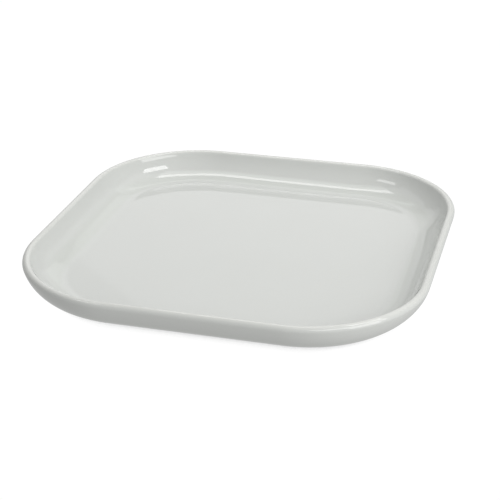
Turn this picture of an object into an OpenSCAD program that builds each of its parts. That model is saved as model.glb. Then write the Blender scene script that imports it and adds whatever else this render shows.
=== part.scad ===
// Square serving plate in glazed stoneware: a flat well, a wall that sweeps up in one
// curve to a thick rounded lip, round corners, and a low foot ring underneath.
// It is fired as one piece. Units are millimetres, +Z is up, and the origin is at the
// centre of the plan, on the surface that the foot ring stands on.

/* [Plan] */
// Width and depth over the lip
side_w = 250; // [200:5:300]
// Corner radius in plan, over the lip
corner_r = 73; // [50:1:90]

/* [Wall] */
// Height of the top of the lip above the table
rim_h = 22.4; // [21.5:0.1:24]
// Depth of the well below the top of the lip
well_d = 15.9; // [14.5:0.1:16.5]
// Thickness of the lip, which is fully round on top
lip_t = 5.2; // [4.4:0.1:6]
// Lean of the inner face where it leaves the lip, from vertical
inner_lean = 25; // [18:1:28]
// Lean of the outer face where it leaves the lip, from vertical
outer_lean = 15; // [10:1:20]
// Height of the lowest point of the outer curve above the table
curve_z = 0.8; // [0.6:0.1:1.2]

/* [Foot] */
// Distance from the outside of the lip to the outside of the foot ring
foot_inset = 19.5; // [18:0.5:22]
// Width of the foot ring
foot_w = 4.5; // [3.5:0.5:6]
// Bevel on both lower edges of the foot ring
foot_bevel = 0.5; // [0.2:0.1:0.6]
// Height of the underside above the table, inside the foot ring
recess_h = 1.8; // [1.2:0.1:2.4]

/* [Look] */
// Glaze colour
glaze_colour = "#D9DBD7";

/* [Hidden] */
$fn = 96;

lip_r = lip_t / 2;
// half the straight run of a side, between two corners
run_half = side_w / 2 - corner_r;
well_z = rim_h - well_d;

// The wall's section is drawn with X running outwards from the corner's centre and Y up.
lip_x = corner_r - lip_r;
lip_y = rim_h - lip_r;

// The outer curve is one arc, tangent to the lip, with its lowest point at curve_z.
outer_r = (lip_y - curve_z - lip_r * sin(outer_lean)) / (1 - sin(outer_lean));
outer_x = lip_x - (outer_r - lip_r) * cos(outer_lean);
outer_y = curve_z + outer_r;
outer_end = [lip_x + lip_r * cos(outer_lean), lip_y - lip_r * sin(outer_lean)];

// The inner curve is one arc, tangent to the lip and to the well.
inner_end = [lip_x - lip_r * cos(inner_lean), lip_y + lip_r * sin(inner_lean)];
inner_r = (inner_end.y - well_z) / (1 - sin(inner_lean));
inner_x = inner_end.x - inner_r * cos(inner_lean);
inner_y = well_z + inner_r;

foot_x = corner_r - foot_inset;
// how far the cutting shapes run past the part
clear = 2;

// The wall, well and foot ring as a closed outline with straight edges. The three
// arcs are cut from it or added to it.
module straight_section() {
    polygon([
        [0, recess_h],
        [foot_x - foot_w, recess_h],
        [foot_x - foot_w, foot_bevel],
        [foot_x - foot_w + foot_bevel, 0],
        [foot_x - foot_bevel, 0],
        [foot_x, foot_bevel],
        [corner_r + clear, foot_bevel],
        [corner_r + clear, outer_end.y],
        outer_end,
        [lip_x, lip_y],
        inner_end,
        [inner_x, well_z],
        [0, well_z]
    ]);
}

// What lies outside the outer curve, from the foot ring out and up to the lip.
module outside_of_curve() {
    difference() {
        translate([foot_x, foot_bevel - clear])
            square([corner_r + 2 * clear - foot_x, outer_end.y - foot_bevel + clear]);
        translate([outer_x, outer_y])
            circle(r = outer_r, $fn = 256);
    }
}

// The round top of the lip, over the two lines from its centre to the ends of the arcs.
module lip_section() {
    intersection() {
        translate([lip_x, lip_y])
            circle(r = lip_r);
        polygon([
            [lip_x, lip_y],
            lip_reach(outer_end),
            [lip_x + clear * lip_r, rim_h + clear],
            [lip_x - clear * lip_r, rim_h + clear],
            lip_reach(inner_end)
        ]);
    }
}

// A point on the line from the lip's centre through p, well outside the lip.
function lip_reach(p) = [lip_x, lip_y] + clear * (p - [lip_x, lip_y]);

module wall_section() {
    difference() {
        straight_section();
        outside_of_curve();
        translate([inner_x, inner_y])
            circle(r = inner_r, $fn = 256);
    }
    lip_section();
}

module corner() {
    translate([run_half, run_half, 0])
        rotate_extrude(angle = 90, $fn = 192)
            wall_section();
}

module straight_side() {
    translate([run_half, run_half, 0])
        rotate([90, 0, 0])
            linear_extrude(height = 2 * run_half)
                wall_section();
}

module centre() {
    translate([-run_half, -run_half, recess_h])
        cube([2 * run_half, 2 * run_half, well_z - recess_h]);
}

module plate() {
    color(glaze_colour) {
        centre();
        for (turn = [0:90:270])
            rotate([0, 0, turn]) {
                corner();
                straight_side();
            }
    }
}

plate();
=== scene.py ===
"""A square serving plate in glazed stoneware, in a white studio.

The plate's one CAD node is stood for by a mesh of the same section, swept round the
same plan, so that its gloss runs unbroken from the well over the lip to the foot.
Lengths in millimetres are those of a plate 250 mm wide, and follow the frame's width.
"""
import math

import bmesh
import bpy
from mathutils import Matrix, Vector


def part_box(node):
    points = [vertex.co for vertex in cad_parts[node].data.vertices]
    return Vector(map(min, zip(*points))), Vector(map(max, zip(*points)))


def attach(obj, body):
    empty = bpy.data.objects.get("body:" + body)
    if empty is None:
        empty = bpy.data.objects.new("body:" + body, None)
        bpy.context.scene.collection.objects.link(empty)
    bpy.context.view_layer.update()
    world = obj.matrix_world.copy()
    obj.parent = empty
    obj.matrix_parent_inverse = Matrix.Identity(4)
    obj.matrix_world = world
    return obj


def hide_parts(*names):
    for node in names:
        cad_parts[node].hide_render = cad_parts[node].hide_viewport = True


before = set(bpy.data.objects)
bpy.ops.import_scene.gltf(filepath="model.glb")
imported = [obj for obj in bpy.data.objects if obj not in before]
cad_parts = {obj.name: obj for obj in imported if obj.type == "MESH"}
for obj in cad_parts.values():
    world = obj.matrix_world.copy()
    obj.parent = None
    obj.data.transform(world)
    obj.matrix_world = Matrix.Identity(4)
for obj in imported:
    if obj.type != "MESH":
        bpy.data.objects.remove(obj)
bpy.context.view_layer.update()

NODE = "plate"
low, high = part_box(NODE)
WIDTH = high.x - low.x
MM = WIDTH / 250

# ---------------------------------------------------------------- the plate's section
HALF = WIDTH / 2
CORNER_R = 73 * MM
RIM_H = high.z
WELL_Z = RIM_H - 15.9 * MM
LIP_R = 2.6 * MM
INNER_LEAN = 25
OUTER_LEAN = 15
CURVE_Z = 0.8 * MM
FOOT_INSET = 19.5 * MM
FOOT_W = 4.5 * MM
RECESS_H = 1.8 * MM
FOOT_ROUND = 0.45 * MM
FOOT_FILLET = 0.5 * MM


def along(centre, radius, angle):
    """The point of a circle in the section at an angle in degrees: 0 inwards, 90 up."""
    turn = math.radians(angle)
    return (centre[0] + radius * math.cos(turn), centre[1] + radius * math.sin(turn))


def arc(centre, radius, start, end, steps):
    """Points of an arc in the section, both ends included."""
    return [along(centre, radius, start + (end - start) * k / steps) for k in range(steps + 1)]


def section():
    """(inset from the outside of the lip, height) from the well's edge round to the underside."""
    lip = (LIP_R, RIM_H - LIP_R)
    inner_end = along(lip, LIP_R, INNER_LEAN)
    inner_r = (inner_end[1] - WELL_Z) / (1 - math.sin(math.radians(INNER_LEAN)))
    inner = (inner_end[0] + inner_r * math.cos(math.radians(INNER_LEAN)), WELL_Z + inner_r)
    outer_end = along(lip, LIP_R, 180 + OUTER_LEAN)
    outer_r = (outer_end[1] - CURVE_Z) / (1 - math.sin(math.radians(OUTER_LEAN)))
    outer = (outer_end[0] + outer_r * math.cos(math.radians(OUTER_LEAN)), CURVE_Z + outer_r)
    foot_turn = 180 + math.degrees(math.acos((outer[0] - FOOT_INSET) / outer_r))
    foot_in = FOOT_INSET + FOOT_W
    points = arc(inner, inner_r, 270, 180 + INNER_LEAN, 26)
    points += arc(lip, LIP_R, INNER_LEAN, 180 + OUTER_LEAN, 22)[1:]
    points += arc(outer, outer_r, 180 + OUTER_LEAN, foot_turn, 20)[1:]
    points += arc((FOOT_INSET + FOOT_ROUND, FOOT_ROUND), FOOT_ROUND, 180, 270, 4)
    points += arc((foot_in - FOOT_ROUND, FOOT_ROUND), FOOT_ROUND, 270, 360, 4)
    points += arc((foot_in + FOOT_FILLET, RECESS_H - FOOT_FILLET), FOOT_FILLET, 180, 90, 4)
    return points


def ring(inset, height, share=1.0):
    """The plan's outline, moved inwards by inset and then shrunk about the centre to share."""
    corner_steps, side_steps = 40, 14
    radius = CORNER_R - inset
    run = HALF - CORNER_R
    points = []
    for quarter in range(4):
        turn = Matrix.Rotation(math.radians(90 * quarter), 3, "Z")
        for k in range(corner_steps):
            a = math.radians(90 * k / corner_steps)
            corner = Vector((run + radius * math.cos(a), run + radius * math.sin(a), 0))
            points.append(turn @ corner)
        for k in range(side_steps):
            along_side = run - 2 * run * k / side_steps
            points.append(turn @ Vector((along_side, run + radius, 0)))
    return [(p.x * share, p.y * share, height) for p in points]


def shares(steps):
    """Shares for the flat rings, down to a small last one: fine next to the curve, then coarser."""
    spread, ease = 0.97, 1.5
    return [1 - spread * (k / steps) ** ease for k in range(1, steps + 1)]


def plate_mesh():
    """One closed mesh: the well's centre, out over the lip, and back under to the centre."""
    outline = section()
    well_inset, under_inset = outline[0][0], outline[-1][0]
    rings = [ring(well_inset, WELL_Z, s) for s in reversed(shares(22))]
    rings += [ring(s, z) for s, z in outline]
    rings += [ring(under_inset, RECESS_H, s) for s in shares(14)]
    count = len(rings[0])
    points = [p for r in rings for p in r] + [(0, 0, WELL_Z), (0, 0, RECESS_H)]
    top, bottom = len(points) - 2, len(points) - 1
    last = (len(rings) - 1) * count
    faces = []
    for k in range(count):
        after = (k + 1) % count
        faces.append((top, k, after))
        faces.append((bottom, last + after, last + k))
        for r in range(len(rings) - 1):
            start = r * count
            faces.append((start + k, start + count + k, start + count + after, start + after))
    mesh = bpy.data.meshes.new("glazed_plate")
    mesh.from_pydata(points, [], faces)
    mesh.validate()
    mesh.shade_smooth()
    return mesh


# ---------------------------------------------------------------- materials
def new_material(name):
    material = bpy.data.materials.new(name)
    material.use_nodes = True
    return material, material.node_tree.nodes, material.node_tree.links


def math_node(nodes, links, operation, first, second, clamp=False):
    """A Math node: each of its two inputs is an output socket or a number."""
    node = nodes.new("ShaderNodeMath")
    node.operation = operation
    node.use_clamp = clamp
    for socket, value in zip(node.inputs, (first, second)):
        if isinstance(value, (int, float)):
            socket.default_value = value
        else:
            links.new(value, socket)
    return node.outputs[0]


def noise_node(nodes, links, vector, size, detail, roughness=0.5):
    """Noise whose features are about size metres across, from 0 to 1."""
    node = nodes.new("ShaderNodeTexNoise")
    node.inputs["Scale"].default_value = 1 / size
    node.inputs["Detail"].default_value = detail
    node.inputs["Roughness"].default_value = roughness
    links.new(vector, node.inputs["Vector"])
    return node.outputs[0]


def ramp_node(nodes, links, value, start, end, low_out=0.0, high_out=1.0):
    """The value from start to end, eased into low_out to high_out and held outside."""
    node = nodes.new("ShaderNodeMapRange")
    node.interpolation_type = "SMOOTHSTEP"
    for name, number in zip(("From Min", "From Max", "To Min", "To Max"), (start, end, low_out, high_out)):
        node.inputs[name].default_value = number
    links.new(value, node.inputs["Value"])
    return node.outputs[0]


def mix_colour(nodes, links, share, first, second):
    """A colour mixed from first to second: each is an output socket or an RGB triple."""
    node = nodes.new("ShaderNodeMix")
    node.data_type = "RGBA"
    links.new(share, node.inputs["Factor"])
    for socket, value in zip((node.inputs[6], node.inputs[7]), (first, second)):
        if isinstance(value, tuple):
            socket.default_value = (*value, 1)
        else:
            links.new(value, socket)
    return node.outputs[2]


def bump_node(nodes, links, height, depth, before=None):
    """A bump whose height, from 0 to 1, is depth metres deep."""
    node = nodes.new("ShaderNodeBump")
    node.inputs["Distance"].default_value = depth
    links.new(height, node.inputs["Height"])
    if before:
        links.new(before, node.inputs["Normal"])
    return node.outputs[0]


# the glaze where it lies even and in its faint mottling, then painted darker low on the walls (painted
# shade, with pooled glaze) and painted lighter over the lip (painted light)
GLAZE = (0.564, 0.576, 0.556)
GLAZE_SHADE = (0.530, 0.543, 0.520)
# painted shade, with pooled glaze: the colour low on the walls
GLAZE_POOLED_AND_SHADED = (0.535, 0.552, 0.524)
# painted light: the lighter colour along the lip's top
GLAZE_LIT_LIP = (0.590, 0.598, 0.572)
CLAY = (0.52, 0.475, 0.41)
CLAY_DARK = (0.40, 0.35, 0.29)
# the sizes of the surface's features, from soft clouds to the pores of the bare clay
CLOUD = 55 * MM
RIPPLE = 32 * MM
GLAZE_EDGE = 9 * MM
GRAIN = 1.6 * MM
PORE = 0.7 * MM
# how deep the glaze ripples, and how deep the clay's grit goes
RIPPLE_DEPTH = 0.015 * MM
GRIT_DEPTH = 0.12 * MM


def glaze_material():
    """Gloss glaze over the whole plate, wiped off the foot ring down to the bare clay."""
    material, nodes, links = new_material("pale_grey_glaze")
    shader = nodes["Principled BSDF"]
    shader.inputs["IOR"].default_value = 1.5
    place = nodes.new("ShaderNodeTexCoord").outputs["Object"]
    split = nodes.new("ShaderNodeSeparateXYZ")
    links.new(place, split.inputs[0])
    height = split.outputs["Z"]

    cloud = noise_node(nodes, links, place, CLOUD, 3)
    ripple = noise_node(nodes, links, place, RIPPLE, 1)
    waver = noise_node(nodes, links, place, GLAZE_EDGE, 2)
    grain = noise_node(nodes, links, place, GRAIN, 3, 0.6)
    pores = noise_node(nodes, links, place, PORE, 4, 0.7)

    # the foot ring's underside is bare clay, up to a slightly uneven glaze line
    edge = math_node(nodes, links, "MULTIPLY", waver, 0.5 * MM)
    above = math_node(nodes, links, "SUBTRACT", height, edge)
    bare = ramp_node(nodes, links, above, 0.30 * MM, 0.42 * MM, 1.0, 0.0)

    # glaze is painted darker low on the walls, from just above the well's level, as painted shade where they
    # curve into the well, with glaze pooled there too; over the lip it is painted lighter, as painted light
    # on the lip's top
    low_enough = ramp_node(nodes, links, height, WELL_Z + 2 * MM, WELL_Z + 6 * MM, 1.0, 0.0)
    off_the_well = ramp_node(nodes, links, height, WELL_Z + 0.1 * MM, WELL_Z + 0.8 * MM)
    # painted shade, with pooled glaze: darker low on the walls where they curve into the well
    pooled_and_shaded = math_node(nodes, links, "MULTIPLY", low_enough, off_the_well)
    # painted light: the lip's top painted lighter
    lit_lip = ramp_node(nodes, links, height, RIM_H - 1.6 * MM, RIM_H - 0.2 * MM)
    shade = math_node(nodes, links, "MULTIPLY", grain, cloud)
    colour = mix_colour(nodes, links, shade, GLAZE, GLAZE_SHADE)
    colour = mix_colour(nodes, links, pooled_and_shaded, colour, GLAZE_POOLED_AND_SHADED)
    colour = mix_colour(nodes, links, lit_lip, colour, GLAZE_LIT_LIP)
    clay = mix_colour(nodes, links, pores, CLAY, CLAY_DARK)
    links.new(mix_colour(nodes, links, bare, colour, clay), shader.inputs["Base Color"])

    # use has dulled the gloss a little, in faint patches; the clay is matt
    worn = ramp_node(nodes, links, cloud, 0.40, 0.70, 0.025, 0.050)
    rough = math_node(nodes, links, "MULTIPLY", bare, 0.8)
    links.new(math_node(nodes, links, "ADD", worn, rough, True), shader.inputs["Roughness"])

    rippled = bump_node(nodes, links, ripple, RIPPLE_DEPTH)
    gritty = math_node(nodes, links, "MULTIPLY", pores, bare)
    links.new(bump_node(nodes, links, gritty, GRIT_DEPTH, rippled), shader.inputs["Normal"])
    return material


# how strongly each glows: what the camera sees as white, the floor the plate mirrors, the room
WHITE = 1.02
FLOOR_BOUNCE = 0.58
ROOM = 0.40
# the floor's painted contact shadow greys it where less than this share of the room reaches it, and no
# darker than this glow
SHADED_BELOW = 0.14
SHADED_GLOW = 0.40


def flat_glow(name, strength):
    """A surface that only glows, by the same amount all over."""
    material, nodes, _ = new_material(name)
    shader = nodes["Principled BSDF"]
    shader.inputs["Base Color"].default_value = (0, 0, 0, 1)
    shader.inputs["Specular IOR Level"].default_value = 0.0
    shader.inputs["Emission Color"].default_value = (1, 1, 1, 1)
    shader.inputs["Emission Strength"].default_value = strength
    # it is so large that rays find it without being aimed at it
    material.cycles.emission_sampling = "NONE"
    return material


def white_floor_material():
    """An overexposed white floor with a painted contact shadow: it only greys where hardly any of the room
    reaches it.
    """
    material = flat_glow("studio_white", WHITE)
    nodes, links = material.node_tree.nodes, material.node_tree.links
    reach = nodes.new("ShaderNodeAmbientOcclusion")
    reach.samples = 16
    reach.inputs["Distance"].default_value = WIDTH
    # painted shadow: the glow drops where ambient occlusion finds the room blocked
    glow = ramp_node(nodes, links, reach.outputs["AO"], 0.0, SHADED_BELOW, SHADED_GLOW, WHITE)
    links.new(glow, nodes["Principled BSDF"].inputs["Emission Strength"])
    return material


# ---------------------------------------------------------------- the studio
CAMERA_AZIMUTH = 15.61
CAMERA_ELEVATION = 25.30
CAMERA_ROLL = -0.42
CAMERA_DISTANCE = 3.3815
CAMERA_LENS = 94.4
# a height on the plate's axis, and how far from there the picture's middle lies, in plate widths
AIM_Z = 0.8 * MM
AIM_RIGHT = 0.0075
AIM_UP = 0.0159


def make_camera():
    a, e, roll = (math.radians(v) for v in (CAMERA_AZIMUTH, CAMERA_ELEVATION, CAMERA_ROLL))
    back = Vector((math.sin(a) * math.cos(e), -math.cos(a) * math.cos(e), math.sin(e)))
    level = Vector((math.cos(a), math.sin(a), 0))
    right = Matrix.Rotation(roll, 3, back) @ level
    up = back.cross(right)
    data = bpy.data.cameras.new("camera")
    data.lens = CAMERA_LENS
    camera = bpy.data.objects.new("camera", data)
    bpy.context.scene.collection.objects.link(camera)
    turn = Matrix((right, up, back)).transposed()
    place = (back * CAMERA_DISTANCE + right * AIM_RIGHT + up * AIM_UP) * WIDTH
    camera.matrix_world = Matrix.Translation(place + Vector((0, 0, AIM_Z))) @ turn.to_4x4()
    bpy.context.scene.camera = camera


# the white drum round the studio, and the floor that reaches past it
DRUM_R = 10 * WIDTH
FLOOR_REACH = 12 * WIDTH


def stage_piece(mesh, material):
    """A part of the studio, as an object with the mesh's name."""
    mesh.materials.append(material)
    piece = bpy.data.objects.new(mesh.name, mesh)
    bpy.context.scene.collection.objects.link(piece)
    return piece


def only_seen(piece):
    """Leave a part of the studio to the camera alone: it neither lights nor shades the plate."""
    piece.visible_diffuse = False
    piece.visible_glossy = False
    piece.visible_shadow = False


def floor_mesh(name, level):
    mesh = bpy.data.meshes.new(name)
    corners = [(x * FLOOR_REACH, y * FLOOR_REACH, level) for x, y in ((-1, -1), (1, -1), (1, 1), (-1, 1))]
    mesh.from_pydata(corners, [], [(0, 1, 2, 3)])
    return mesh


def drum_mesh(name):
    """A closed drum, as far below the floor as above it."""
    mesh = bpy.data.meshes.new(name)
    drum = bmesh.new()
    bmesh.ops.create_cone(drum, segments=64, radius1=DRUM_R, radius2=DRUM_R, depth=2 * DRUM_R, cap_ends=True)
    drum.to_mesh(mesh)
    drum.free()
    return mesh


def make_surround():
    """The white floor and drum the camera sees, and a greyer floor that the plate mirrors."""
    only_seen(stage_piece(floor_mesh("floor", 0), white_floor_material()))
    only_seen(stage_piece(drum_mesh("backdrop"), flat_glow("studio_backdrop", WHITE)))
    mirrored = stage_piece(floor_mesh("floor_bounce", -0.2 * MM), flat_glow("studio_grey", FLOOR_BOUNCE))
    mirrored.visible_camera = False


# lights are placed and sized in studio units, each four plates wide
STUDIO = 4 * WIDTH


def area_light(name, size, power, place, turn):
    data = bpy.data.lights.new(name, "AREA")
    data.shape = "RECTANGLE"
    data.size = size[0] * STUDIO
    data.size_y = size[1] * STUDIO
    data.energy = power * STUDIO ** 2
    light = bpy.data.objects.new(name, data)
    bpy.context.scene.collection.objects.link(light)
    light.visible_camera = False
    light.matrix_world = Matrix.Translation(place * STUDIO) @ turn


def hanging_light(name, right, back, up, size, power, turn=0):
    """A light that hangs level and shines down: right and back are the camera's, turn in degrees."""
    aim = Matrix.Rotation(math.radians(CAMERA_AZIMUTH), 4, "Z")
    area_light(name, size, power, aim @ Vector((right, back, up)),
               aim @ Matrix.Rotation(math.radians(turn), 4, "Z"))


def standing_light(name, azimuth, elevation, distance, size, power, roll=0):
    """A panel facing the plate; azimuth 0 is towards -Y and grows towards +X."""
    a, e = math.radians(azimuth), math.radians(elevation)
    towards = Vector((math.sin(a) * math.cos(e), -math.cos(a) * math.cos(e), math.sin(e)))
    across = Matrix.Rotation(math.radians(roll), 3, towards) @ Vector((math.cos(a), math.sin(a), 0))
    turn = Matrix((across, towards.cross(across), towards)).transposed()
    area_light(name, size, power, towards * distance, turn.to_4x4())


def make_lights():
    world = bpy.data.worlds.new("room")
    bpy.context.scene.world = world
    world.use_nodes = True
    background = world.node_tree.nodes["Background"]
    background.inputs["Color"].default_value = (1, 1, 1, 1)
    background.inputs["Strength"].default_value = ROOM
    # the room glows evenly, so rays need no aiming at it
    world.cycles.sampling_method = "NONE"
    hanging_light("ceiling", 0, 0.70, 0.90, (1.60, 1.00), 3.35)
    hanging_light("top_strip", -0.02, 0.30, 0.65, (0.32, 0.095), 0.45)
    hanging_light("top_box", -0.02, 0.175, 0.65, (0.36, 0.15), 0.24)
    hanging_light("back_strip", 0, 0.695, 0.65, (0.50, 0.07), 0.12)
    hanging_light("left_lamp", -0.86, -0.19, 1.30, (0.50, 0.26), 1.6, -48)
    hanging_light("right_lamp", 0.75, -0.12, 1.30, (0.60, 0.36), 4.5, 38)
    standing_light("back_low", 200, 9, 1.3, (0.90, 0.42), 0.29)
    standing_light("back_high", 200, 27, 1.3, (0.90, 0.42), 0.64)
    standing_light("back_wall", 190, 17, 1.35, (1.60, 0.80), 0.60)
    standing_light("back_slope", 185, 26, 1.3, (1.25, 0.60), 0.45, -32)
    standing_light("key_low", 62, 9, 1.2, (0.60, 0.36), 3.1)
    standing_light("key", 52, 29, 1.2, (1.40, 0.40), 7.0)


make_camera()
make_surround()
make_lights()
bpy.context.scene.view_settings.view_transform = "Standard"

plate = bpy.data.objects.new("glazed_plate", plate_mesh())
bpy.context.scene.collection.objects.link(plate)
plate.data.materials.append(glaze_material())
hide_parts(NODE)
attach(plate, "root")
